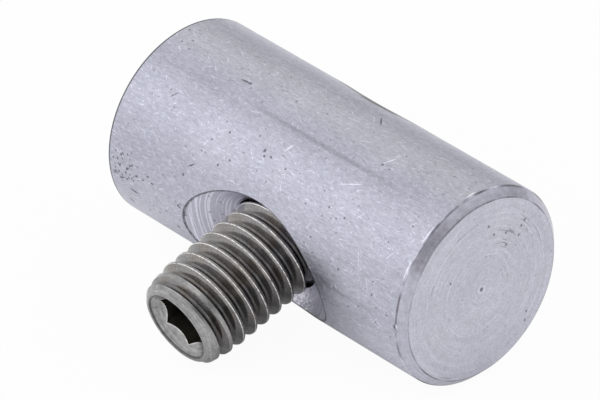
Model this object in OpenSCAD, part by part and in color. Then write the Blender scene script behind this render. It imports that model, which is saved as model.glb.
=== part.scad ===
// Locking screw: a turned barrel with a set screw in its countersunk cross hole.
// The barrel's axis is X and its centre is the origin. The part lies on the barrel's side and on the bevel
// of the screw's end, so the screw points to -Y and slopes down.

/* [Barrel] */
// Diameter of the barrel
barrel_d = 16; // [14:0.5:20]
// Length of the barrel
barrel_l = 32; // [26:1:60]
// Chamfer on the barrel's near end
near_chamfer = 0.7; // [0.2:0.1:1.5]
// Edge break on the barrel's far end
far_chamfer = 0.1; // [0.1:0.1:1.5]

/* [Cross hole] */
// How far the cross hole lies from the middle of the barrel
cross_offset = -0.2; // [-1:0.1:1]
// Depth of each countersink, from the barrel's crown down to the bore
sink_depth = 2.5; // [1:0.1:3]
// Included angle of the countersinks
sink_angle = 110; // [90:5:120]
// Gap all round between the screw's crests and the bore
thread_clearance = 0.08; // [0.04:0.02:0.2]

/* [Set screw] */
// Diameter over the screw's thread crests
crest_d = 7.9; // [7.4:0.1:8.4]
// Pitch of the screw's thread
thread_pitch = 1.25; // [1:0.05:1.5]
// Turn of the thread about the screw's own axis
thread_turn = 122; // [0:1:359]
// Length of the screw
screw_l = 16; // [12:1:20]
// How far the socket end stands proud of the barrel's crown
screw_proud = 7.9; // [5:0.1:9]
// Diameter of the rim on the socket end
rim_d = 6.2; // [6:0.1:7]
// Width of the bevel round the rim
rim_bevel = 0.5; // [0.2:0.1:0.6]
// Slope of the taper between that bevel and the full thread
rim_taper = 10; // [5:5:30]
// Diameter of the flat point on the inner end
point_d = 5.5; // [4:0.1:6]

/* [Hex socket] */
// Width across flats of the hex socket
socket_af = 4; // [3:0.5:4.5]
// Depth of the hex socket's flats, from the rim
socket_depth = 5; // [3:0.5:6]
// Diameter of the socket's conical mouth at the rim
mouth_d = 5.8; // [5:0.1:6]
// Included angle of the conical mouth
mouth_angle = 90; // [80:5:130]
// Ledge at the socket's bottom, between its flats and the drill point
drill_ledge = 0.2; // [0.1:0.1:0.5]
// Included angle of the drill point at the socket's bottom
drill_angle = 120; // [100:5:140]

/* [Hidden] */

barrel_r = barrel_d / 2;
crest_r = crest_d / 2;
bore_r = crest_r + thread_clearance;
// how far a cutting shape runs past the surface that it opens
overrun = 1;

// metric thread form: 60 degrees between the flanks, an eighth of the pitch flat on the crest
flank_slope = tan(30);
crest_flat = thread_pitch / 8;
thread_depth = 0.5 * thread_pitch;
root_r = crest_r - thread_depth;
turn_steps = 36;
step_pitch = thread_pitch / turn_steps;

taper_l = rim_bevel + (crest_r - rim_d / 2 - rim_bevel) / tan(rim_taper);
point_chamfer = crest_r - point_d / 2;
full_thread = screw_l - taper_l;
screw_reach = barrel_r + screw_proud;

// the slope at which the screw's bevel, or else its full thread, meets the ground that the barrel lies on
function slope_at(reach, r) = asin(barrel_r / norm([reach, r])) - atan(r / reach);
rest_slope = min(
    slope_at(screw_reach - rim_bevel, rim_d / 2 + rim_bevel),
    slope_at(screw_reach - taper_l, crest_r)
);

// puts what stands on +Z on the screw's axis, with local Y on its upper side
module on_screw_axis() {
    translate([cross_offset, 0, 0]) rotate([90 + rest_slope, 0, 0]) children();
}

// a cone that opens upwards from its tip radius, as a countersink does
module cone_cut(depth, tip_r, angle) {
    cylinder(h = depth, r1 = tip_r, r2 = tip_r + depth * tan(angle / 2), $fn = 96);
}

module countersink() {
    translate([0, 0, barrel_r - sink_depth]) cone_cut(sink_depth + overrun, bore_r, sink_angle);
}

module cross_hole() {
    on_screw_axis() {
        cylinder(h = barrel_d + 2 * overrun, r = bore_r, center = true, $fn = 96);
        countersink();
        mirror([0, 0, 1]) countersink();
    }
}

module barrel() {
    half_l = barrel_l / 2;
    color("#bdbec8")
        difference() {
            rotate([0, 90, 0])
                rotate_extrude($fn = 128)
                    polygon([
                        [0, -half_l], [barrel_r - far_chamfer, -half_l], [barrel_r, far_chamfer - half_l],
                        [barrel_r, half_l - near_chamfer], [barrel_r - near_chamfer, half_l], [0, half_l]
                    ]);
            cross_hole();
        }
}

// the screw before threading: its flat point at Z = 0, the rim of its socket end at Z = screw_l
module screw_blank() {
    rotate_extrude($fn = 96)
        polygon([
            [0, 0], [point_d / 2, 0], [crest_r, point_chamfer],
            [crest_r, full_thread], [rim_d / 2 + rim_bevel, screw_l - rim_bevel],
            [rim_d / 2, screw_l], [0, screw_l]
        ]);
}

// the four corners of the groove's section at height z, turned to where the helix has got to there
function groove_corners(z, section) =
    let (angle = 360 * (z / thread_pitch - 0.5) - thread_turn)
    [for (corner = section) [corner[0] * cos(angle), corner[0] * sin(angle), z + corner[1]]];

// the groove of a right-hand thread, swept up the screw from below its point and out through its taper
module thread_groove() {
    half_top = (thread_pitch - crest_flat) / 2;
    half_root = half_top - thread_depth * flank_slope;
    rise = crest_r / cos(180 / turn_steps) - crest_r + crest_flat / 4;
    outer_r = crest_r + rise;
    half_outer = half_top + rise * flank_slope;
    section = [[root_r, -half_root], [outer_r, -half_outer], [outer_r, half_outer], [root_r, half_root]];
    steps = ceil((screw_l + 2 * thread_pitch) / step_pitch);
    points = [for (i = [0 : steps]) each groove_corners(i * step_pitch - thread_pitch, section)];
    sides = [for (i = [0 : steps - 1], j = [0 : 3])
        let (near = 4 * i + j, next = 4 * i + (j + 1) % 4)
        each [[near, next, next + 4], [near, next + 4, near + 4]]];
    ends = [[3, 2, 1, 0], [for (j = [0 : 3]) 4 * steps + j]];
    polyhedron(points, concat(sides, ends));
}

module hex_socket() {
    mouth_depth = mouth_d / 2 / tan(mouth_angle / 2);
    drill_depth = (socket_af / 2 - drill_ledge) / tan(drill_angle / 2);
    translate([0, 0, screw_l]) {
        translate([0, 0, -mouth_depth]) cone_cut(mouth_depth + overrun, 0, mouth_angle);
        translate([0, 0, -socket_depth])
            rotate([0, 0, 30])
                cylinder(h = socket_depth, r = socket_af / 2 / cos(30), $fn = 6);
        translate([0, 0, -socket_depth - drill_depth]) cone_cut(drill_depth, 0, drill_angle);
    }
}

module set_screw() {
    color("#8a8781")
        on_screw_axis()
            translate([0, 0, screw_reach - screw_l])
                difference() {
                    screw_blank();
                    thread_groove();
                    hex_socket();
                }
}

barrel();
set_screw();
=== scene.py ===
import math

import bmesh
import bpy
from mathutils import Matrix, Vector


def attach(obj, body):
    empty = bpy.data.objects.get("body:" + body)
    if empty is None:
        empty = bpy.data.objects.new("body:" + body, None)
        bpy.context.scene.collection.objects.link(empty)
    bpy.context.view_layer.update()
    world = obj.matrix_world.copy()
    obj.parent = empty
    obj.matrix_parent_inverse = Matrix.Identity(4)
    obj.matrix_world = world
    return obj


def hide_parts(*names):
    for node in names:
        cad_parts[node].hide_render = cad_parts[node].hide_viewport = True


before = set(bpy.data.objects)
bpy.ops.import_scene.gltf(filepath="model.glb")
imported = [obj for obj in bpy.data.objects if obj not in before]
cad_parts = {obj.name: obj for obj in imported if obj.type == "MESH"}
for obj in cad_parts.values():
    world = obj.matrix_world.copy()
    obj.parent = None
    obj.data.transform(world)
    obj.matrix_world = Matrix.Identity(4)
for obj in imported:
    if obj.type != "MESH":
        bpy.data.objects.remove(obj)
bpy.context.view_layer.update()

# Barrel
# A length of drawn aluminium bar, 16 mm across, faced in a lathe and chamfered on its near end. Its cross
# hole is drilled, tapped M8 and countersunk from both sides, so a tap and two countersinks cut it here.
mm = 0.001
barrel_radius = 8 * mm
barrel_half = 16 * mm
near_chamfer = 0.7 * mm
far_chamfer = 0.1 * mm
centre_pip = 0.17 * mm
edge_break = 0.05 * mm
nick_radius = 0.4 * mm
nick_place = (15.52 * mm, -8.21 * mm, -0.1 * mm)
# the M8 thread, with the tap's room for the screw
pitch = 1.25 * mm
flank_slope = math.tan(math.radians(30))
crest_radius = 3.95 * mm
bore_radius = 4.03 * mm
tapped_radius = 3.42 * mm
flank_room = 0.06 * mm
tap_reach = 9 * mm
# the countersinking bit, whose cone goes on past the barrel's side
sink_start = 5.5 * mm
sink_slope = math.tan(math.radians(55))
sink_reach = barrel_radius + 1 * mm
pilot_radius = bore_radius + 0.02 * mm
pilot_depth = 1.1 * mm
# the cross hole's own axis is local Z: it points to -Y and slopes down, as the part rests on the screw's end
rest_slope = 17.23
cross_turn = math.radians(90 + rest_slope)
cross_place = (-0.2 * mm, 0, 0)
cross_axis = Matrix.Translation(cross_place) @ Matrix.Rotation(cross_turn, 4, "X")
# where the screw's thread crest crosses local X, from the screw's point and its turn in degrees
screw_low = -0.1 * mm
screw_turn = 122
crest_height = pitch * screw_turn / 360 + screw_low
# vertices closer than weld are one, what lies within slack of a plane is on it, and an edge that turns by
# more than sharp is a corner of the outline
weld = 1e-7
slack = 0.01 * mm
sharp = math.radians(20)


def linear(code):
    """A colour written as an sRGB hex value, as the linear colour that a socket takes."""
    shares = [int(code[i : i + 2], 16) / 255 for i in (1, 3, 5)]
    return [*[c / 12.92 if c <= 0.04045 else ((c + 0.055) / 1.055) ** 2.4 for c in shares], 1]


def empty_tree(owner):
    """The node tree of a material or world, switched on and emptied."""
    owner.use_nodes = True
    owner.node_tree.nodes.clear()
    return owner.node_tree


def add(tree, kind, inputs, **settings):
    """Adds one shader node with its settings, fills or links its inputs, and gives back its outputs."""
    made = tree.nodes.new("ShaderNode" + kind)
    for setting, value in settings.items():
        setattr(made, setting, value)
    for name, value in inputs.items():
        if isinstance(value, bpy.types.NodeSocket):
            tree.links.new(value, made.inputs[name])
        else:
            made.inputs[name].default_value = value
    return made.outputs


def in_bar(tree):
    """The place on the surface, as millimetres along the barrel's axes from its middle."""
    whole = add(tree, "TexCoord", {})["Object"]
    return add(tree, "Mapping", {"Vector": whole, "Scale": (1 / mm, 1 / mm, 1 / mm)})[0]


def in_hole(tree):
    """The place on the surface, as millimetres along the cross hole's own axes from its middle."""
    whole = add(tree, "TexCoord", {})["Object"]
    axes = {"Location": cross_place, "Rotation": (cross_turn, 0, 0), "Scale": (mm, mm, mm)}
    return add(tree, "Mapping", {"Vector": whole, **axes}, vector_type="TEXTURE")[0]


def about_axis(tree, place, across):
    """The radius of a place about an axis, and the X, Y and Z shares of the way out from it. Across is 0
    along the axis and 1 along the two that cross it."""
    spread = add(tree, "Mapping", {"Vector": place, "Scale": across})[0]
    radius = add(tree, "VectorMath", {0: spread}, operation="LENGTH")[1]
    outward = add(tree, "VectorMath", {0: spread}, operation="NORMALIZE")[0]
    return radius, add(tree, "SeparateXYZ", {0: outward})


def knocks(tree, flat, places):
    """Soft ellipses on the unrolled side: each has its millimetres along and round, half its length and
    width, and its turn in degrees."""
    marks = 0
    for along, about, half_length, half_width, degrees in places:
        axes = {"Rotation": (0, 0, math.radians(degrees)), "Scale": (half_length, half_width, 1)}
        inputs = {"Vector": flat, "Location": (along, about, 0), **axes}
        spot = add(tree, "Mapping", inputs, vector_type="TEXTURE")[0]
        away = add(tree, "VectorMath", {0: spot}, operation="LENGTH")[1]
        mark = add(tree, "MapRange", {0: away, 1: 1.2, 2: 0.5}, interpolation_type="SMOOTHSTEP")[0]
        marks = add(tree, "Math", {0: marks, 1: mark}, operation="MAXIMUM")[0]
    return marks


def shaded(tree, textures, marks):
    """How light the metal is: the product of each texture's share, which goes from low to high with it,
    and of each mark's share, which is 1 beside the mark and its strength on it."""
    shade = 1
    for texture, low, high in textures:
        share = add(tree, "MapRange", {0: texture, 1: 0.25, 2: 0.75, 3: low, 4: high})[0]
        shade = add(tree, "Math", {0: shade, 1: share}, operation="MULTIPLY")[0]
    for mark, strength in marks:
        share = add(tree, "MapRange", {0: mark, 3: 1, 4: strength})[0]
        shade = add(tree, "Math", {0: shade, 1: share}, operation="MULTIPLY")[0]
    return shade


def turned(outline, axis, steps):
    """A closed body turned from its outline of (along, radius) points about the X or Z axis."""
    body = bmesh.new()
    along = Vector((1, 0, 0)) if axis == "X" else Vector((0, 0, 1))
    out = Vector((0, 0, 1)) if axis == "X" else Vector((1, 0, 0))
    corners = [body.verts.new(along * a + out * r) for a, r in outline]
    lines = [body.edges.new(pair) for pair in zip(corners, corners[1:])]
    bmesh.ops.spin(
        body, geom=corners + lines, cent=(0, 0, 0), axis=along, dvec=(0, 0, 0),
        angle=2 * math.pi, steps=steps, use_merge=True,
    )
    bmesh.ops.remove_doubles(body, verts=body.verts, dist=weld)
    bmesh.ops.recalc_face_normals(body, faces=body.faces)
    return body


def threaded(outline, low, high, steps):
    """A threaded rod along Z from low to high: one pitch of its outline, as (radius, height) points, is
    swept up a right-hand helix, and the ends are cut square and closed."""
    rod = bmesh.new()
    corners = [rod.verts.new((r, 0, h)) for r, h in outline]
    lines = [rod.edges.new(pair) for pair in zip(corners, corners[1:])]
    below = math.ceil((outline[0][1] - low) / pitch) + 2
    bmesh.ops.translate(rod, vec=(0, 0, -below * pitch), verts=rod.verts)
    turns = below + math.ceil((high - outline[0][1]) / pitch) + 2
    bmesh.ops.spin(
        rod, geom=corners + lines, cent=(0, 0, 0), axis=(0, 0, 1), dvec=(0, 0, pitch / steps),
        angle=2 * math.pi * turns, steps=steps * turns, use_merge=False,
    )
    bmesh.ops.remove_doubles(rod, verts=rod.verts, dist=10 * weld)
    bmesh.ops.recalc_face_normals(rod, faces=rod.faces)
    for height, side in ((low, -1), (high, 1)):
        everything = [*rod.verts, *rod.edges, *rod.faces]
        bmesh.ops.bisect_plane(
            rod, geom=everything, dist=weld, plane_co=(0, 0, height), plane_no=(0, 0, side),
            clear_outer=True,
        )
        rim = [e for e in rod.edges if e.is_boundary and all(abs(v.co.z - height) < weld for v in e.verts)]
        bmesh.ops.edgenet_fill(rod, edges=rim)
    bmesh.ops.recalc_face_normals(rod, faces=rod.faces)
    return rod


def part(name, body, materials):
    """An object that holds the body's mesh as it lies, with these materials in its slots."""
    mesh = bpy.data.meshes.new(name)
    body.to_mesh(mesh)
    body.free()
    for material in materials:
        mesh.materials.append(material)
    made = bpy.data.objects.new(name, mesh)
    bpy.context.scene.collection.objects.link(made)
    return made


def machine(piece, tool, operation):
    """Cuts the piece with the tool, or keeps what both fill. The cut takes the tool's material."""
    cut = piece.modifiers.new("cut", "BOOLEAN")
    cut.operation = operation
    cut.solver = "EXACT"
    cut.material_mode = "TRANSFER"
    cut.object = tool
    graph = bpy.context.evaluated_depsgraph_get()
    result = bpy.data.meshes.new_from_object(piece.evaluated_get(graph))
    piece.modifiers.remove(cut)
    old = piece.data
    name = old.name
    piece.data = result
    bpy.data.meshes.remove(old)
    result.name = name
    bpy.data.objects.remove(tool)


def finish_edges(piece, degrees):
    """Shades the piece smooth, with a crisp edge wherever two faces meet at more than this angle."""
    body = bmesh.new()
    body.from_mesh(piece.data)
    bmesh.ops.dissolve_degenerate(body, dist=weld, edges=body.edges)
    for face in body.faces:
        face.smooth = True
    for edge in body.edges:
        edge.smooth = edge.calc_face_angle(0) < math.radians(degrees)
    body.to_mesh(piece.data)
    body.free()


# drawn aluminium bar: satin and cloudy, with faint lines along it, tiny pits, short scratches and dings
drawn = bpy.data.materials.new("drawn_aluminium")
tree = empty_tree(drawn)
place = in_bar(tree)
axes = add(tree, "SeparateXYZ", {0: place})
side = add(tree, "Math", {0: axes[1], 1: -1}, operation="MULTIPLY")[0]
turn = add(tree, "Math", {0: side, 1: axes[2]}, operation="ARCTAN2")[0]
# millimetres round the barrel from its top, towards the screw
around = add(tree, "Math", {0: turn, 1: barrel_radius / mm}, operation="MULTIPLY")[0]
flat = add(tree, "CombineXYZ", {0: axes[0], 1: around})[0]
# a mottle about 0.3 mm across, draw lines 0.4 mm apart, clouds of 4 mm and a grain of 0.15 mm
stretched = add(tree, "Mapping", {"Vector": place, "Scale": (1.6, 3.4, 3.4)})[0]
mottle = add(tree, "TexNoise", {"Vector": stretched, "Scale": 1, "Detail": 4, "Roughness": 0.7})[0]
long_stretch = add(tree, "Mapping", {"Vector": place, "Scale": (0.16, 2.4, 2.4)})[0]
lines = add(tree, "TexNoise", {"Vector": long_stretch, "Scale": 1, "Detail": 3, "Roughness": 0.6})[0]
clouds = add(tree, "TexNoise", {"Vector": place, "Scale": 0.25, "Detail": 2, "Roughness": 0.5})[0]
grain_stretch = add(tree, "Mapping", {"Vector": place, "Scale": (2.4, 9, 9)})[0]
grain = add(tree, "TexNoise", {"Vector": grain_stretch, "Scale": 1, "Detail": 3, "Roughness": 0.65})[0]
# pits of 0.1 to 0.25 mm, about 2 mm apart, and thick together near the far end under the screw's side
cells = add(tree, "TexVoronoi", {"Vector": place, "Scale": 1.35})
patch = add(tree, "MapRange", {0: clouds, 1: 0.35, 2: 0.7, 3: 0.05, 4: 0.13})[0]
inside = add(tree, "Math", {0: patch, 1: cells["Distance"]}, operation="SUBTRACT")[0]
hollows = add(tree, "MapRange", {0: inside, 1: -0.04, 2: 0.05}, interpolation_type="SMOOTHSTEP")[0]
thick_place = (-14.2, 13, 0)
from_thick = add(tree, "VectorMath", {0: flat, 1: thick_place}, operation="DISTANCE")[1]
limits = {1: 0.6, 2: 3, 3: 0.4, 4: 0}
thick = add(tree, "MapRange", {0: from_thick, **limits}, interpolation_type="SMOOTHSTEP")[0]
cells = add(tree, "TexVoronoi", {"Vector": place, "Scale": 3})
inside = add(tree, "Math", {0: thick, 1: cells["Distance"]}, operation="SUBTRACT")[0]
crowd = add(tree, "MapRange", {0: inside, 1: -0.02, 2: 0.12}, interpolation_type="SMOOTHSTEP")[0]
hollows = add(tree, "Math", {0: hollows, 1: crowd}, operation="MAXIMUM")[0]
# specks of 0.1 mm, less than 1 mm apart
cells = add(tree, "TexVoronoi", {"Vector": place, "Scale": 2.3})
chance = add(tree, "SeparateColor", {0: cells["Color"]})[0]
reach = add(tree, "MapRange", {0: chance, 1: 0.3, 2: 1, 3: -0.06, 4: 0.16})[0]
inside = add(tree, "Math", {0: reach, 1: cells["Distance"]}, operation="SUBTRACT")[0]
specks = add(tree, "MapRange", {0: inside, 1: -0.04, 2: 0.06, 4: 0.65}, interpolation_type="SMOOTHSTEP")[0]
hollows = add(tree, "Math", {0: hollows, 1: specks}, operation="MAXIMUM")[0]
# the dings that the photo shows
dings = (
    (-7.4, 2.0, 0.48, 0.1, -5), (-6.95, 1.97, 0.17, 0.13, 0),
    (-1.5, 5.95, 0.15, 0.15, 0), (-1.27, 6.33, 0.14, 0.1, 0), (-0.67, 6.15, 0.17, 0.09, 20),
    (7.68, 2.3, 0.14, 0.1, 0), (3.4, -1.6, 0.75, 0.09, 46), (-7.2, 9.7, 0.4, 0.07, -38),
    (-13.4, 14.88, 0.52, 0.14, 6), (-14.3, 16.5, 0.3, 0.16, 35), (-11.6, 5.76, 0.45, 0.06, -53),
    (-14.5, 14.1, 0.4, 0.08, -28), (-15.2, 13.9, 0.3, 0.09, 4), (-14.9, 12.53, 0.14, 0.1, 60),
    (-13.5, 12.57, 0.14, 0.1, 0), (-12.77, 13.15, 0.16, 0.12, 0), (-12.07, 13.15, 0.15, 0.1, 20),
    (-11.5, 12.6, 0.16, 0.11, 0), (-11.02, 12.98, 0.17, 0.1, 0), (-7.77, 10.7, 0.14, 0.14, 0),
    (-8.1, 13.57, 0.24, 0.13, 40), (-8.89, 16.2, 0.22, 0.2, 0),
)
hollows = add(tree, "Math", {0: hollows, 1: knocks(tree, flat, dings)}, operation="MAXIMUM")[0]
# short light scratches turned every way, in patches of 0.6 to 1.4 mm
scratches = 0
for per_mm, longest, width in ((0.75, 0.55, 0.05), (1.6, 0.26, 0.045), (2.4, 0.2, 0.04)):
    patches = add(tree, "TexVoronoi", {"Vector": flat, "Scale": per_mm}, voronoi_dimensions="2D")
    chance = add(tree, "SeparateColor", {0: patches["Color"]})
    offset = add(tree, "VectorMath", {0: flat, 1: patches["Position"]}, operation="SUBTRACT")[0]
    swing = add(tree, "MapRange", {0: chance[0], 3: -1.2, 4: 1.2})[0]
    laid = add(tree, "VectorRotate", {"Vector": offset, "Angle": swing}, rotation_type="Z_AXIS")[0]
    laid_axes = add(tree, "SeparateXYZ", {0: laid})
    half_length = add(tree, "MapRange", {0: chance[1], 3: -longest * 0.9, 4: longest})[0]
    along_it = add(tree, "Math", {0: laid_axes[0]}, operation="ABSOLUTE")[0]
    across_it = add(tree, "Math", {0: laid_axes[1]}, operation="ABSOLUTE")[0]
    within = add(tree, "Math", {0: half_length, 1: along_it}, operation="SUBTRACT")[0]
    ends = add(tree, "MapRange", {0: within, 1: 0, 2: 0.12})[0]
    thin = add(tree, "MapRange", {0: across_it, 1: 0, 2: width, 3: 1, 4: 0})[0]
    scratch = add(tree, "Math", {0: ends, 1: thin}, operation="MULTIPLY")[0]
    scratches = add(tree, "Math", {0: scratches, 1: scratch}, operation="MAXIMUM")[0]
# the longer ones that the photo shows
long_scratches = (
    (7.85, 1.65, 0.62, 0.07, -65), (0.2, 4.9, 0.5, 0.06, -67), (6.8, 4.9, 1.0, 0.05, -26),
    (-11.5, 5.62, 0.5, 0.05, -53), (15.2, 0.6, 0.55, 0.11, 84), (15.22, 5.2, 0.8, 0.07, 90),
    (15.22, 8.2, 0.8, 0.07, 90), (7.29, 12.45, 0.2, 0.08, 30), (7.89, 12.97, 0.24, 0.06, 90),
    (8.64, 12.5, 0.3, 0.06, 80), (9.07, 12.32, 0.2, 0.07, 45), (6.28, 12.0, 0.45, 0.07, 42),
    (6.82, 12.55, 0.36, 0.07, 47),
)
deep_scratches = knocks(tree, flat, long_scratches)
# a dull rubbed streak along the upper side, 0.4 mm wide and broken
streak_height = 3.4
from_streak = add(tree, "Math", {0: around, 1: streak_height}, operation="SUBTRACT")[0]
from_streak = add(tree, "Math", {0: from_streak}, operation="ABSOLUTE")[0]
streak = add(tree, "MapRange", {0: from_streak, 1: 0.3, 2: 0.02}, interpolation_type="SMOOTHSTEP")[0]
streak_start = add(tree, "MapRange", {0: axes[0], 1: -6, 2: -3.5})[0]
streak_end = add(tree, "MapRange", {0: axes[0], 1: 11, 2: 7})[0]
broken = add(tree, "MapRange", {0: mottle, 1: 0.3, 2: 0.6, 3: 0.25, 4: 1})[0]
for share in (streak_start, streak_end, broken):
    streak = add(tree, "Math", {0: streak, 1: share}, operation="MULTIPLY")[0]
# thin dark lines on the far edge and round the countersinks, where the bit has left a burr; along the far
# edge and round the back one they are painted shade
far_end = -barrel_half / mm
limits = {1: far_end + 0.26, 2: far_end + 0.17}
edge_shade_and_burr = add(tree, "MapRange", {0: axes[0], **limits}, interpolation_type="SMOOTHSTEP")[0]
local = in_hole(tree)
from_cross = about_axis(tree, local, (1, 1, 0))[0]
out_along = add(tree, "SeparateXYZ", {0: local})[2]
out_along = add(tree, "Math", {0: out_along}, operation="ABSOLUTE")[0]
cone_start = (pilot_radius - sink_start * sink_slope) / mm
cone = add(tree, "Math", {0: out_along, 1: sink_slope, 2: cone_start}, operation="MULTIPLY_ADD")[0]
past_cone = add(tree, "Math", {0: from_cross, 1: cone}, operation="SUBTRACT")[0]
# the back one's dark line is wider: painted shade
burr = add(tree, "MapRange", {0: axes[1], 1: -1, 2: 1, 3: 0.12, 4: 1.4})[0]
burr = add(tree, "Math", {0: past_cone, 1: burr}, operation="DIVIDE")[0]
burr = add(tree, "MapRange", {0: burr, 1: 1, 2: 0.4}, interpolation_type="SMOOTHSTEP")[0]
edge_shade_and_burr = add(tree, "Math", {0: edge_shade_and_burr, 1: burr}, operation="MAXIMUM")[0]
# and it is blackest, as painted shade, for 3 mm where it meets the skyline
skyline_shade = add(tree, "MapRange", {0: past_cone, 1: 1.9, 2: 1.2}, interpolation_type="SMOOTHSTEP")[0]
black_middle = 0.6
from_middle = add(tree, "Math", {0: axes[0], 1: black_middle}, operation="SUBTRACT")[0]
from_middle = add(tree, "Math", {0: from_middle}, operation="ABSOLUTE")[0]
rim_middle = add(tree, "MapRange", {0: from_middle, 1: 2.4, 2: 1.2}, interpolation_type="SMOOTHSTEP")[0]
at_back = add(tree, "MapRange", {0: axes[1], 1: 0, 2: 1})[0]
for share in (rim_middle, at_back):
    skyline_shade = add(tree, "Math", {0: skyline_shade, 1: share}, operation="MULTIPLY")[0]
shade = shaded(
    tree,
    ((mottle, 0.88, 1.1), (grain, 0.79, 1.2), (lines, 0.94, 1.06), (clouds, 0.94, 1.05)),
    (
        (scratches, 1.48), (deep_scratches, 1.6), (hollows, 0.36), (streak, 0.72), (edge_shade_and_burr, 0.25),
        (skyline_shade, 0.3),
    ),
)
tint = add(tree, "Mix", {0: clouds, 6: linear("#c0c1d0"), 7: linear("#bfbfcc")}, data_type="RGBA")[2]
# a painted reflection: the metal is less blue on top
from_top = add(tree, "Math", {0: around}, operation="ABSOLUTE")[0]
top_reflection_tint = add(tree, "MapRange", {0: from_top, 1: 2.8, 2: 0.6}, interpolation_type="SMOOTHSTEP")[0]
tint = add(tree, "Mix", {0: top_reflection_tint, 6: tint, 7: linear("#c1c1cb")}, data_type="RGBA")[2]
metal = add(tree, "VectorMath", {0: tint, "Scale": shade}, operation="SCALE")[0]
rough = add(tree, "MapRange", {0: lines, 1: 0.2, 2: 0.8, 3: 0.28, 4: 0.38})[0]
height = add(tree, "Math", {0: grain, 1: 0.2, 2: mottle}, operation="MULTIPLY_ADD")[0]
height = add(tree, "Math", {0: height, 1: hollows}, operation="SUBTRACT")[0]
relief = add(tree, "Bump", {"Strength": 0.7, "Distance": 0.03 * mm, "Height": height})[0]
surface = add(
    tree, "BsdfPrincipled", {"Base Color": metal, "Metallic": 1, "Roughness": rough, "Normal": relief}
)[0]
add(tree, "OutputMaterial", {"Surface": surface})

# faced in the lathe: satin, with faint rings about the axis, a few torn dark arcs and pits
faced = bpy.data.materials.new("faced_aluminium")
tree = empty_tree(faced)
place = in_bar(tree)
radius, outward = about_axis(tree, place, (0, 1, 1))
# rings about 0.3 mm apart, which last for a third of a turn
ring_place = add(tree, "CombineXYZ", {0: radius, 1: outward[1], 2: outward[2]})[0]
ring_scale = add(tree, "Mapping", {"Vector": ring_place, "Scale": (3, 0.9, 0.9)})[0]
rings = add(tree, "TexNoise", {"Vector": ring_scale, "Scale": 1, "Detail": 4, "Roughness": 0.65})[0]
mottle = add(tree, "TexNoise", {"Vector": place, "Scale": 2.6, "Detail": 4, "Roughness": 0.7})[0]
clouds = add(tree, "TexNoise", {"Vector": place, "Scale": 0.3, "Detail": 2, "Roughness": 0.5})[0]
# torn arcs, 0.1 mm wide and 1 mm long, in a patch of the upper far side
arc_scale = add(tree, "Mapping", {"Vector": ring_place, "Scale": (5, 1.5, 1.5)})[0]
arcs = add(tree, "TexNoise", {"Vector": arc_scale, "Scale": 1, "Detail": 2, "Roughness": 0.6})[0]
face_height = barrel_half / mm
torn_place = (face_height, 3.3, 3.8)
from_patch = add(tree, "VectorMath", {0: place, 1: torn_place}, operation="DISTANCE")[1]
limits = {1: 2.9, 2: 1.2, 3: -0.1, 4: 0.02}
patch = add(tree, "MapRange", {0: from_patch, **limits}, interpolation_type="SMOOTHSTEP")[0]
arcs = add(tree, "Math", {0: arcs, 1: patch}, operation="ADD")[0]
torn = add(tree, "MapRange", {0: arcs, 1: 0.6, 2: 0.66}, interpolation_type="SMOOTHSTEP")[0]
grain = add(tree, "TexNoise", {"Vector": place, "Scale": 7, "Detail": 2, "Roughness": 0.6})[0]
# faint specks about 0.7 mm apart, and the pip that the tool has left in the middle
cells = add(tree, "TexVoronoi", {"Vector": place, "Scale": 1.5})
chance = add(tree, "SeparateColor", {0: cells["Color"]})[0]
reach = add(tree, "MapRange", {0: chance, 3: -0.1, 4: 0.15})[0]
inside = add(tree, "Math", {0: reach, 1: cells["Distance"]}, operation="SUBTRACT")[0]
hollows = add(tree, "MapRange", {0: inside, 1: -0.04, 2: 0.05, 4: 0.36}, interpolation_type="SMOOTHSTEP")[0]
pip = add(tree, "MapRange", {0: radius, 1: 0.19, 2: 0.08}, interpolation_type="SMOOTHSTEP")[0]
hollows = add(tree, "Math", {0: hollows, 1: pip}, operation="MAXIMUM")[0]
# the pits that the photo shows, as Y and Z in millimetres
for across, up in (
    (4.64, -3.84), (4.54, -4.59), (2.31, 2.88), (3.57, 3.21), (-3.18, 1.83), (0.48, 5.19), (4.13, 4.3),
    (3.8, 3.92), (1.04, 4.28), (2.26, 3.94),
):
    away = add(tree, "VectorMath", {0: place, 1: (face_height, across, up)}, operation="DISTANCE")[1]
    pit = add(tree, "MapRange", {0: away, 1: 0.16, 2: 0.06}, interpolation_type="SMOOTHSTEP")[0]
    hollows = add(tree, "Math", {0: hollows, 1: pit}, operation="MAXIMUM")[0]
# a burr stands round the centre, and light arcs swirl about it
burr_radius = 0.31
from_burr = add(tree, "Math", {0: radius, 1: burr_radius}, operation="SUBTRACT")[0]
from_burr = add(tree, "Math", {0: from_burr}, operation="ABSOLUTE")[0]
burr = add(tree, "MapRange", {0: from_burr, 1: 0.12, 2: 0.04}, interpolation_type="SMOOTHSTEP")[0]
swirl_scale = add(tree, "Mapping", {"Vector": ring_place, "Scale": (5, 0.8, 0.8)})[0]
swirl = add(tree, "TexNoise", {"Vector": swirl_scale, "Scale": 1.3, "Detail": 2, "Roughness": 0.5})[0]
swirl = add(tree, "MapRange", {0: swirl, 1: 0.54, 2: 0.66}, interpolation_type="SMOOTHSTEP")[0]
shade = shaded(
    tree,
    ((rings, 0.91, 1.09), (mottle, 0.88, 1.11), (grain, 0.84, 1.15), (clouds, 0.96, 1.04)),
    ((hollows, 0.42), (torn, 0.58), (burr, 1.14), (swirl, 1.1)),
)
tint = add(tree, "Mix", {0: clouds, 6: linear("#cbcbd9"), 7: linear("#cacad5")}, data_type="RGBA")[2]
metal = add(tree, "VectorMath", {0: tint, "Scale": shade}, operation="SCALE")[0]
rough = add(tree, "MapRange", {0: rings, 1: 0.2, 2: 0.8, 3: 0.36, 4: 0.46})[0]
height = add(tree, "Math", {0: rings, 1: hollows}, operation="SUBTRACT")[0]
relief = add(tree, "Bump", {"Strength": 0.6, "Distance": 0.02 * mm, "Height": height})[0]
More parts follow.
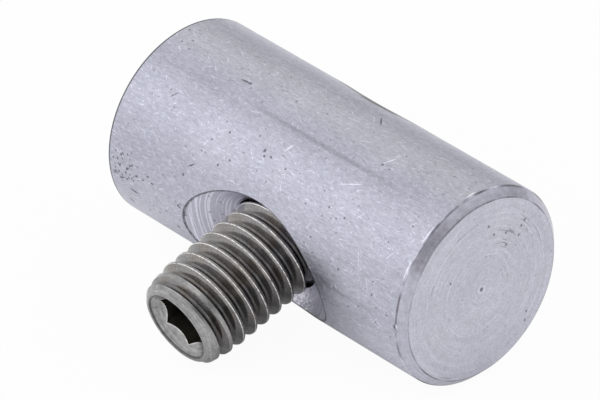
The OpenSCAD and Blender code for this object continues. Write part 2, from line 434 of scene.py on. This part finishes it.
surface = add(
    tree, "BsdfPrincipled", {"Base Color": metal, "Metallic": 1, "Roughness": rough, "Normal": relief}
)[0]
add(tree, "OutputMaterial", {"Surface": surface})

# chamfered by the side of the tool: brighter than the face, in fine rings, with dark lines along both its
# edges
chamfered = bpy.data.materials.new("chamfered_aluminium")
tree = empty_tree(chamfered)
place = in_bar(tree)
radius, outward = about_axis(tree, place, (0, 1, 1))
# rings about 0.1 mm apart
ring_place = add(tree, "CombineXYZ", {0: radius, 1: outward[1], 2: outward[2]})[0]
ring_scale = add(tree, "Mapping", {"Vector": ring_place, "Scale": (9, 1.2, 1.2)})[0]
rings = add(tree, "TexNoise", {"Vector": ring_scale, "Scale": 1, "Detail": 3, "Roughness": 0.6})[0]
mottle = add(tree, "TexNoise", {"Vector": place, "Scale": 2.2, "Detail": 3, "Roughness": 0.6})[0]
outer = barrel_radius / mm
inner = outer - near_chamfer / mm
limits = {1: inner + 0.08, 2: inner + 0.02}
inner_line = add(tree, "MapRange", {0: radius, **limits}, interpolation_type="SMOOTHSTEP")[0]
limits = {1: outer - 0.14, 2: outer - 0.08}
outer_line = add(tree, "MapRange", {0: radius, **limits}, interpolation_type="SMOOTHSTEP")[0]
edge_lines = add(tree, "Math", {0: inner_line, 1: outer_line}, operation="MAXIMUM")[0]
clouds = add(tree, "TexNoise", {"Vector": place, "Scale": 0.5, "Detail": 2, "Roughness": 0.5})[0]
here = add(tree, "MapRange", {0: clouds, 1: 0.3, 2: 0.6, 3: 1, 4: 0.2})[0]
edge_lines = add(tree, "Math", {0: edge_lines, 1: here}, operation="MULTIPLY")[0]
# a painted highlight along its outer edge, in places, most on the upper side, in two stretches of the turn
limits = {1: outer - 0.1, 2: outer - 0.06}
painted_edge_highlight = add(tree, "MapRange", {0: radius, **limits}, interpolation_type="SMOOTHSTEP")[0]
here = add(tree, "MapRange", {0: clouds, 1: 0.42, 2: 0.56, 4: 0.6})[0]
side = add(tree, "Math", {0: outward[1], 1: -1}, operation="MULTIPLY")[0]
turn = add(tree, "Math", {0: side, 1: outward[2]}, operation="ARCTAN2")[0]
for middle, half in ((9, 7), (50, 15)):
    apart = add(tree, "Math", {0: turn, 1: math.radians(middle)}, operation="SUBTRACT")[0]
    apart = add(tree, "Math", {0: apart}, operation="ABSOLUTE")[0]
    limits = {1: math.radians(half), 2: math.radians(half * 0.6)}
    stretch = add(tree, "MapRange", {0: apart, **limits}, interpolation_type="SMOOTHSTEP")[0]
    here = add(tree, "Math", {0: here, 1: stretch}, operation="MAXIMUM")[0]
painted_edge_highlight = add(tree, "Math", {0: painted_edge_highlight, 1: here}, operation="MULTIPLY")[0]
shade = shaded(
    tree, ((rings, 0.9, 1.1), (mottle, 0.84, 1.18)), ((edge_lines, 0.3), (painted_edge_highlight, 1.8))
)
metal = add(tree, "VectorMath", {0: linear("#bdbcca")[:3], "Scale": shade}, operation="SCALE")[0]
rough = add(tree, "MapRange", {0: mottle, 1: 0.2, 2: 0.8, 3: 0.18, 4: 0.28})[0]
relief = add(tree, "Bump", {"Strength": 0.4, "Distance": 0.01 * mm, "Height": rings})[0]
surface = add(
    tree, "BsdfPrincipled", {"Base Color": metal, "Metallic": 1, "Roughness": rough, "Normal": relief}
)[0]
add(tree, "OutputMaterial", {"Surface": surface})

# countersunk by a single-edged bit: light chatter arcs about the hole's axis, and a dark line along the rim
sunk = bpy.data.materials.new("countersunk_aluminium")
tree = empty_tree(sunk)
local = in_hole(tree)
radius, outward = about_axis(tree, local, (1, 1, 0))
# arcs 0.1 mm wide, about 0.25 mm apart
ring_place = add(tree, "CombineXYZ", {0: radius, 1: outward[0], 2: outward[1]})[0]
ring_scale = add(tree, "Mapping", {"Vector": ring_place, "Scale": (9, 0.6, 0.6)})[0]
rings = add(tree, "TexNoise", {"Vector": ring_scale, "Scale": 1, "Detail": 3, "Roughness": 0.55})[0]
arcs = add(tree, "MapRange", {0: rings, 1: 0.51, 2: 0.6}, interpolation_type="SMOOTHSTEP")[0]
mottle = add(tree, "TexNoise", {"Vector": local, "Scale": 3, "Detail": 3, "Roughness": 0.65})[0]
# below the screw, in the front one, the bit has torn the metal
tear_place = (1.9, -4.1, 5.9)
from_tear = add(tree, "VectorMath", {0: local, 1: tear_place}, operation="DISTANCE")[1]
tear = add(tree, "MapRange", {0: from_tear, 1: 2.2, 2: 0.7}, interpolation_type="SMOOTHSTEP")[0]
lumps = add(tree, "TexNoise", {"Vector": local, "Scale": 3, "Detail": 4, "Roughness": 0.7})[0]
lumps = add(tree, "MapRange", {0: lumps, 1: 0.36, 2: 0.64, 3: 0.6, 4: 1.8})[0]
bar_radius = about_axis(tree, in_bar(tree), (0, 1, 1))[0]
limits = {1: outer - 0.14, 2: outer - 0.05}
rim_line = add(tree, "MapRange", {0: bar_radius, **limits}, interpolation_type="SMOOTHSTEP")[0]
broken = add(tree, "MapRange", {0: mottle, 1: 0.3, 2: 0.55, 3: 0.2, 4: 1})[0]
rim_line = add(tree, "Math", {0: rim_line, 1: broken}, operation="MULTIPLY")[0]
# pits of 0.2 mm, about 1 mm apart
from_pit = add(tree, "TexVoronoi", {"Vector": local, "Scale": 1.1})["Distance"]
hollows = add(tree, "MapRange", {0: from_pit, 1: 0.14, 2: 0.08}, interpolation_type="SMOOTHSTEP")[0]
shade = shaded(
    tree, ((mottle, 0.88, 1.1),), ((arcs, 1.5), (rim_line, 0.25), (hollows, 0.5), (tear, lumps))
)
metal = add(tree, "VectorMath", {0: linear("#c6c5d3")[:3], "Scale": shade}, operation="SCALE")[0]
rough = add(tree, "MapRange", {0: mottle, 1: 0.2, 2: 0.8, 3: 0.26, 4: 0.38})[0]
relief = add(tree, "Bump", {"Strength": 0.5, "Distance": 0.01 * mm, "Height": rings})[0]
surface = add(
    tree, "BsdfPrincipled", {"Base Color": metal, "Metallic": 1, "Roughness": rough, "Normal": relief}
)[0]
add(tree, "OutputMaterial", {"Surface": surface})

# tapped: the cut flanks of the hole's own thread, dull, darkened by painted shade and by oil in blots of 0.8
# mm
tapped = bpy.data.materials.new("tapped_aluminium_oil_and_shade")
tree = empty_tree(tapped)
oil_and_shade = add(tree, "TexNoise", {"Vector": in_bar(tree), "Scale": 1.2, "Detail": 3, "Roughness": 0.6})[0]
metal = add(tree, "Mix", {0: oil_and_shade, 6: linear("#4c4a48"), 7: linear("#77767a")}, data_type="RGBA")[2]
rough = add(tree, "MapRange", {0: oil_and_shade, 1: 0.2, 2: 0.8, 3: 0.3, 4: 0.5})[0]
surface = add(tree, "BsdfPrincipled", {"Base Color": metal, "Metallic": 1, "Roughness": rough})[0]
add(tree, "OutputMaterial", {"Surface": surface})

bar = turned(
    [
        (-barrel_half, 0), (-barrel_half, barrel_radius - far_chamfer),
        (far_chamfer - barrel_half, barrel_radius), (barrel_half - near_chamfer, barrel_radius),
        (barrel_half, barrel_radius - near_chamfer), (barrel_half, centre_pip), (barrel_half - centre_pip, 0),
    ],
    "X", steps=256,
)
rims = [e for e in bar.edges if e.calc_face_angle(0) > sharp and e.verts[0].co.x > 0]
bmesh.ops.bevel(bar, geom=rims, offset=edge_break, affect="EDGES", segments=2, profile=0.5, material=-1)
finishes = [drawn, faced, chamfered]
for face in bar.faces:
    centre = face.calc_center_median()
    past_side = centre.x > barrel_half - near_chamfer
    if past_side and centre.yz.length > barrel_radius - near_chamfer - edge_break:
        face.material_index = finishes.index(chamfered)
    elif past_side or abs(centre.x) > barrel_half - slack:
        face.material_index = finishes.index(faced)
barrel = part("turned_barrel", bar, finishes)

# the tap leaves ridges that fit the screw's grooves with a little room on each flank, and a groove takes
# all of the pitch but the crest's eighth
ridge_half = pitch * 7 / 16 - flank_room + (bore_radius - crest_radius) * flank_slope
ridge_top = ridge_half - (bore_radius - tapped_radius) * flank_slope
ridge_height = crest_height + pitch / 2
tap = threaded(
    [
        (bore_radius, ridge_height - pitch / 2), (bore_radius, ridge_height - ridge_half),
        (tapped_radius, ridge_height - ridge_top), (tapped_radius, ridge_height + ridge_top),
        (bore_radius, ridge_height + ridge_half), (bore_radius, ridge_height + pitch / 2),
    ],
    -tap_reach, tap_reach, steps=48,
)
bmesh.ops.transform(tap, matrix=cross_axis, verts=tap.verts)
machine(barrel, part("tap", tap, [tapped]), "DIFFERENCE")
# each countersink has a pilot, which clears the first turn of the thread
pilot_start = sink_start - pilot_depth
bit_finishes = [sunk, tapped]
for direction in (1, -1):
    bit = turned(
        [
            (direction * pilot_start, 0), (direction * pilot_start, pilot_radius),
            (direction * sink_start, pilot_radius),
            (direction * sink_reach, pilot_radius + (sink_reach - sink_start) * sink_slope),
            (direction * sink_reach, 0),
        ],
        "Z", steps=192,
    )
    for face in bit.faces:
        on_cone = abs(face.calc_center_median().z) > sink_start
        face.material_index = bit_finishes.index(sunk if on_cone else tapped)
    bmesh.ops.transform(bit, matrix=cross_axis, verts=bit.verts)
    machine(barrel, part("countersink", bit, bit_finishes), "DIFFERENCE")
# a knock has left a nick in the chamfer, on the screw's side
nick = bmesh.new()
bmesh.ops.create_icosphere(
    nick, subdivisions=4, radius=nick_radius, matrix=Matrix.Translation(nick_place)
)
machine(barrel, part("nick", nick, [sunk]), "DIFFERENCE")
finish_edges(barrel, degrees=24)
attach(barrel, "barrel")
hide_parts("barrel")

# Set screw
# An M8 stainless set screw, rolled and then faced, with a taper to the rim of its socket end. The hex
# socket is broached into a drilled hole with a conical mouth.
thread_depth = 0.717 * mm
root_radius = crest_radius - thread_depth
crest_round = 0.035 * mm
root_round = 0.14 * mm
screw_high = 15.9 * mm
rim_radius = 3.1 * mm
rim_bevel = 0.5 * mm
rim_round = 0.09 * mm
taper_slope = math.tan(math.radians(10))
point_radius = 2.75 * mm
mouth_radius = 2.9 * mm
socket_flats = 4 * mm
socket_depth = 5 * mm
drill_radius = socket_flats / 2 - 0.2 * mm
drill_slope = math.tan(math.radians(60))

# rolled stainless: grey and a little warm, in fine streaks along the thread, with painted shade in the
# roots and on the near flanks, brown stains, and crests worn bright with a painted highlight
rolled = bpy.data.materials.new("rolled_stainless")
tree = empty_tree(rolled)
local = in_hole(tree)
axes = add(tree, "SeparateXYZ", {0: local})
radius, outward = about_axis(tree, local, (1, 1, 0))
turn = add(tree, "Math", {0: axes[0], 1: axes[1]}, operation="ARCTAN2")[0]
# height above the helix, so that streaks 0.1 mm apart and 1.5 mm long follow the thread
rise = pitch / mm / (2 * math.pi)
climb = add(tree, "Math", {0: turn, 1: rise, 2: axes[2]}, operation="MULTIPLY_ADD")[0]
helix = add(tree, "CombineXYZ", {0: climb, 1: turn, 2: radius})[0]
helix_scale = add(tree, "Mapping", {"Vector": helix, "Scale": (7, 2.6, 7)})[0]
streaks = add(tree, "TexNoise", {"Vector": helix_scale, "Scale": 1, "Detail": 3, "Roughness": 0.65})[0]
mottle = add(tree, "TexNoise", {"Vector": local, "Scale": 3, "Detail": 3, "Roughness": 0.65})[0]
stain = add(tree, "TexNoise", {"Vector": local, "Scale": 0.6, "Detail": 2, "Roughness": 0.5})[0]
# the crest's two corners are worn bright and carry a painted highlight, and its flat is not
top = crest_radius / mm
worn_crest_and_highlight = add(tree, "MapRange", {0: radius, 1: top - 0.07, 2: top - 0.03}, interpolation_type="SMOOTHSTEP")[0]
crest_flat = add(tree, "MapRange", {0: radius, 1: top - 0.003, 2: top - 0.01})[0]
worn_crest_and_highlight = add(tree, "Math", {0: worn_crest_and_highlight, 1: crest_flat}, operation="MULTIPLY")[0]
whole_crest = add(tree, "MapRange", {0: mottle, 1: 0.36, 2: 0.5, 3: 0.25, 4: 1})[0]
worn_crest_and_highlight = add(tree, "Math", {0: worn_crest_and_highlight, 1: whole_crest}, operation="MULTIPLY")[0]
root_shade = add(tree, "MapRange", {0: radius, 1: top - 0.4, 2: top - 0.7}, interpolation_type="SMOOTHSTEP")[0]
browned = add(tree, "MapRange", {0: stain, 1: 0.42, 2: 0.7, 3: 0.05, 4: 0.5})[0]
tint = add(tree, "Mix", {0: browned, 6: linear("#949394"), 7: linear("#8e8275")}, data_type="RGBA")[2]
tint = add(tree, "Mix", {0: worn_crest_and_highlight, 6: tint, 7: linear("#eeecea")}, data_type="RGBA")[2]
# painted shade darkens the flanks on the near side
near_flank_shade = add(tree, "MapRange", {0: outward[0], 1: 0.84, 2: 0.94}, interpolation_type="SMOOTHSTEP")[0]
bare = add(tree, "Math", {0: 1, 1: worn_crest_and_highlight}, operation="SUBTRACT")[0]
near_flank_shade = add(tree, "Math", {0: near_flank_shade, 1: bare}, operation="MULTIPLY")[0]
shade = shaded(tree, ((streaks, 0.8, 1.16),), ((root_shade, 0.55), (near_flank_shade, 0.56)))
# a hard grain of 0.1 mm
grain = add(tree, "TexNoise", {"Vector": local, "Scale": 8, "Detail": 2, "Roughness": 0.6})[0]
grain = add(tree, "MapRange", {0: grain, 1: 0.3, 2: 0.7, 3: 0.72, 4: 1.28})[0]
shade = add(tree, "Math", {0: shade, 1: grain}, operation="MULTIPLY")[0]
metal = add(tree, "VectorMath", {0: tint, "Scale": shade}, operation="SCALE")[0]
rough = add(tree, "MapRange", {0: streaks, 1: 0.2, 2: 0.8, 3: 0.08, 4: 0.15})[0]
relief = add(tree, "Bump", {"Strength": 0.4, "Distance": 0.01 * mm, "Height": streaks})[0]
surface = add(
    tree, "BsdfPrincipled", {"Base Color": metal, "Metallic": 1, "Roughness": rough, "Normal": relief}
)[0]
add(tree, "OutputMaterial", {"Surface": surface})

# the faced end, a little lighter, scuffed round by the key, with a painted highlight on the edge where the
# hex cuts the mouth
scuffed = bpy.data.materials.new("faced_stainless")
tree = empty_tree(scuffed)
local = in_hole(tree)
radius, outward = about_axis(tree, local, (1, 1, 0))
# scuffs about 0.1 mm wide
ring_place = add(tree, "CombineXYZ", {0: radius, 1: outward[0], 2: outward[1]})[0]
ring_scale = add(tree, "Mapping", {"Vector": ring_place, "Scale": (9, 1.6, 1.6)})[0]
rings = add(tree, "TexNoise", {"Vector": ring_scale, "Scale": 1, "Detail": 3, "Roughness": 0.65})[0]
mottle = add(tree, "TexNoise", {"Vector": local, "Scale": 2.5, "Detail": 3, "Roughness": 0.65})[0]
# the distance from the socket's axis towards the nearest of the hex's flats
flats = 0
for degrees in (0, 60, 120):
    facing = (math.cos(math.radians(degrees)), math.sin(math.radians(degrees)), 0)
    from_middle = add(tree, "VectorMath", {0: local, 1: facing}, operation="DOT_PRODUCT")[1]
    from_middle = add(tree, "Math", {0: from_middle}, operation="ABSOLUTE")[0]
    flats = add(tree, "Math", {0: flats, 1: from_middle}, operation="MAXIMUM")[0]
half_flats = socket_flats / 2 / mm
limits = {1: half_flats + 0.1, 2: half_flats + 0.02}
hex_edge_highlight = add(tree, "MapRange", {0: flats, **limits}, interpolation_type="SMOOTHSTEP")[0]
# painted shade lies in the corner where the mouth begins
mouth_edge = mouth_radius / mm - 0.08
from_mouth = add(tree, "Math", {0: radius, 1: mouth_edge}, operation="SUBTRACT")[0]
from_mouth = add(tree, "Math", {0: from_mouth}, operation="ABSOLUTE")[0]
mouth_corner_shade = add(tree, "MapRange", {0: from_mouth, 1: 0.1, 2: 0.04}, interpolation_type="SMOOTHSTEP")[0]
shade = shaded(
    tree, ((rings, 0.62, 1.3), (mottle, 0.72, 1.22)), ((hex_edge_highlight, 1.6), (mouth_corner_shade, 0.35))
)
metal = add(tree, "VectorMath", {0: linear("#a4a3a4")[:3], "Scale": shade}, operation="SCALE")[0]
rough = add(tree, "MapRange", {0: rings, 1: 0.2, 2: 0.8, 3: 0.18, 4: 0.3})[0]
relief = add(tree, "Bump", {"Strength": 0.5, "Distance": 0.01 * mm, "Height": rings})[0]
surface = add(
    tree, "BsdfPrincipled", {"Base Color": metal, "Metallic": 1, "Roughness": rough, "Normal": relief}
)[0]
add(tree, "OutputMaterial", {"Surface": surface})

# the broached socket, darkened by painted shade and by oil in blots of 1 mm
broached = bpy.data.materials.new("broached_stainless_oil_and_shade")
tree = empty_tree(broached)
oil_and_shade = add(tree, "TexNoise", {"Vector": in_bar(tree), "Scale": 0.9, "Detail": 3, "Roughness": 0.6})[0]
metal = add(tree, "Mix", {0: oil_and_shade, 6: linear("#4a463c"), 7: linear("#6a655a")}, data_type="RGBA")[2]
rough = add(tree, "MapRange", {0: oil_and_shade, 1: 0.2, 2: 0.8, 3: 0.4, 4: 0.55})[0]
surface = add(tree, "BsdfPrincipled", {"Base Color": metal, "Metallic": 1, "Roughness": rough})[0]
add(tree, "OutputMaterial", {"Surface": surface})

# the thread's outline over one pitch, with its crest corners and its root rounded
crest_half = pitch / 16
root_start = crest_half + thread_depth * flank_slope
profile = [
    (crest_radius, 0),
    (crest_radius, crest_half - crest_round),
    (crest_radius - crest_round * 0.27, crest_half - crest_round * 0.27),
    (crest_radius - crest_round, crest_half + crest_round * 0.58),
    (root_radius + root_round, root_start - root_round * flank_slope),
    (root_radius + root_round * 2 / 7, root_start + root_round / 7),
    (root_radius, root_start + root_round * 5 / 7),
]
rising = [(r, crest_height + h) for r, h in profile]
falling = [(r, crest_height + pitch - h) for r, h in reversed(profile)]
overrun = 1 * mm
rod = threaded(rising + falling, screw_low - overrun, screw_high + overrun, steps=96)
screw = part("set_screw_body", rod, [rolled])
# the rod is cut to the blank's ends, and between them the blank stands clear of the crests
point_bevel_high = screw_low + crest_radius - point_radius
bevel_low = screw_high - rim_bevel
taper_low = bevel_low - (crest_radius - rim_radius - rim_bevel) / taper_slope
clear_radius = crest_radius + 0.4 * mm
blank = turned(
    [
        (screw_low, 0), (screw_low, point_radius), (point_bevel_high, crest_radius),
        (point_bevel_high, clear_radius), (taper_low, clear_radius), (taper_low, crest_radius),
        (bevel_low, rim_radius + rim_bevel), (screw_high, rim_radius), (screw_high, mouth_radius),
        (screw_high - mouth_radius, 0),
    ],
    "Z", steps=160,
)
at_rim = [e for e in blank.edges if all(v.co.z > bevel_low - slack for v in e.verts)]
rims = [e for e in at_rim if e.calc_face_angle(0) > sharp]
bmesh.ops.bevel(blank, geom=rims, offset=rim_round, affect="EDGES", segments=3, profile=0.5, material=-1)
machine(screw, part("blank", blank, [scuffed]), "INTERSECT")
hexagon = bmesh.new()
corner_radius = socket_flats / math.sqrt(3)
bmesh.ops.create_cone(
    hexagon, cap_ends=True, segments=6, radius1=corner_radius, radius2=corner_radius,
    depth=socket_depth, matrix=Matrix.Translation((0, 0, screw_high - socket_depth / 2)),
)
machine(screw, part("broach", hexagon, [broached]), "DIFFERENCE")
socket_floor = screw_high - socket_depth
drill_high = socket_floor + 0.2 * mm
drill = turned(
    [
        (socket_floor - drill_radius / drill_slope, 0), (socket_floor, drill_radius),
        (drill_high, drill_radius), (drill_high, 0),
    ],
    "Z", steps=64,
)
machine(screw, part("drill", drill, [broached]), "DIFFERENCE")
screw.data.transform(cross_axis)
finish_edges(screw, degrees=34)
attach(screw, "set_screw")
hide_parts("set_screw")

# Studio
# A white floor under a white tent, a little darker beyond the part and dark round the camera, and the
# camera where the photograph was taken from.
ground = bmesh.new()
floor_half = 1500 * mm
bmesh.ops.create_grid(
    ground, x_segments=1, y_segments=1, size=floor_half, matrix=Matrix.Translation((0, 0, -barrel_radius))
)
# white paper: matt, and so brightly lit that the camera sees it almost evenly white
paper = bpy.data.materials.new("white_paper")
tree = empty_tree(paper)
path = add(tree, "LightPath", {})
mirrored = add(
    tree, "Math", {0: path["Is Glossy Ray"], 1: path["Is Transmission Ray"]}, operation="MAXIMUM"
)[0]
# painted shadow: the floor's glow for mirror rays fades where the part's own shadow lies, by the screw and
# along the barrel, so it stays dark in the metal too
place = in_bar(tree)
shadow_place = (1, -9.5, -barrel_radius / mm)
from_shadow = add(tree, "VectorMath", {0: place, 1: shadow_place}, operation="DISTANCE")[1]
limits = {1: 2, 2: 9, 3: 0.05, 4: 0.62}
share = add(tree, "MapRange", {0: from_shadow, **limits}, interpolation_type="SMOOTHSTEP")[0]
under = add(tree, "Mapping", {"Vector": place, "Scale": (0.45, 1, 0)})[0]
from_contact = add(tree, "VectorMath", {0: under}, operation="LENGTH")[1]
limits = {1: 9.8, 2: 6.2, 3: 1, 4: 0.45}
contact = add(tree, "MapRange", {0: from_contact, **limits}, interpolation_type="SMOOTHSTEP")[0]
share = add(tree, "Math", {0: share, 1: contact}, operation="MULTIPLY")[0]
mirrored = add(tree, "Math", {0: mirrored, 1: share}, operation="MULTIPLY")[0]
even = add(tree, "Math", {0: path["Is Camera Ray"], 1: 0.95, 2: mirrored}, operation="MULTIPLY_ADD")[0]
matt = add(tree, "BsdfDiffuse", {"Color": linear("#f9f9f9")})[0]
bright = add(tree, "Emission", {"Color": linear("#ffffff"), "Strength": 1})[0]
mixed = add(tree, "MixShader", {0: even, 1: matt, 2: bright})[0]
add(tree, "OutputMaterial", {"Surface": mixed})
floor = part("studio_floor", ground, [paper])

scene = bpy.context.scene
world = bpy.data.worlds.new("white_tent")
scene.world = world
tree = empty_tree(world)
direction = add(tree, "TexCoord", {})["Generated"]
reach = add(tree, "SeparateXYZ", {0: direction})
beyond = add(tree, "MapRange", {0: reach[1], 1: 0.3, 2: 0.8}, interpolation_type="SMOOTHSTEP")[0]
low_down = add(tree, "MapRange", {0: reach[2], 1: 0.75, 2: 0.15}, interpolation_type="SMOOTHSTEP")[0]
back_wall = add(tree, "Math", {0: beyond, 1: low_down}, operation="MULTIPLY")[0]
level = add(tree, "MapRange", {0: back_wall, 3: 0.97, 4: 0.6})[0]
# patches of the tent: the way to each, the cosines of the angle from that way at which it starts and is
# full, and its share of light
tent = {
    "opening for the camera": ((0.76, -0.39, 0.52), 0.86, 0.98, 0.53),
    "lamp at the far end": ((-0.62, -0.56, 0.55), 0.86, 0.97, 1.22),
    "seam": ((-0.62, -0.05, 0.78), 0.95, 0.995, 0.8),
    "gap in the roof": ((-0.03, 0.41, 0.91), 0.92, 0.97, 0.38),
    "door by the near end": ((0.9, 0.35, 0.25), 0.89, 0.97, 0.5),
    "lamp overhead": ((0.1, 0, 0.99), 0.95, 0.985, 1.3),
}
for way, start, full, light in tent.values():
    way = Vector(way).normalized()
    toward = add(tree, "VectorMath", {0: direction, 1: way}, operation="DOT_PRODUCT")[1]
    limits = {1: start, 2: full, 3: 1, 4: light}
    patch = add(tree, "MapRange", {0: toward, **limits}, interpolation_type="SMOOTHSTEP")[0]
    level = add(tree, "Math", {0: level, 1: patch}, operation="MULTIPLY")[0]
# the side wall behind the camera is a little darker high up
near_side = add(tree, "MapRange", {0: reach[0], 1: 0.2, 2: 0.6}, interpolation_type="SMOOTHSTEP")[0]
high_up = add(tree, "MapRange", {0: reach[2], 1: 0.3, 2: 0.5}, interpolation_type="SMOOTHSTEP")[0]
side_wall = add(tree, "Math", {0: near_side, 1: high_up}, operation="MULTIPLY")[0]
shade = add(tree, "MapRange", {0: side_wall, 3: 1, 4: 0.86})[0]
level = add(tree, "Math", {0: level, 1: shade}, operation="MULTIPLY")[0]
sky = add(tree, "Background", {"Color": linear("#ffffff"), "Strength": level})[0]
add(tree, "OutputWorld", {"Surface": sky})

camera_data = bpy.data.cameras.new("camera")
camera_data.sensor_fit = "HORIZONTAL"
camera_data.sensor_width = 36
camera_data.lens = 397.6
camera = bpy.data.objects.new("camera", camera_data)
scene.collection.objects.link(camera)
camera.location = (301.453 * mm, -284.741 * mm, 260.315 * mm)
camera.rotation_euler = (math.radians(57.88), math.radians(-0.866), math.radians(47.502))
scene.camera = camera
scene.view_settings.view_transform = "Standard"
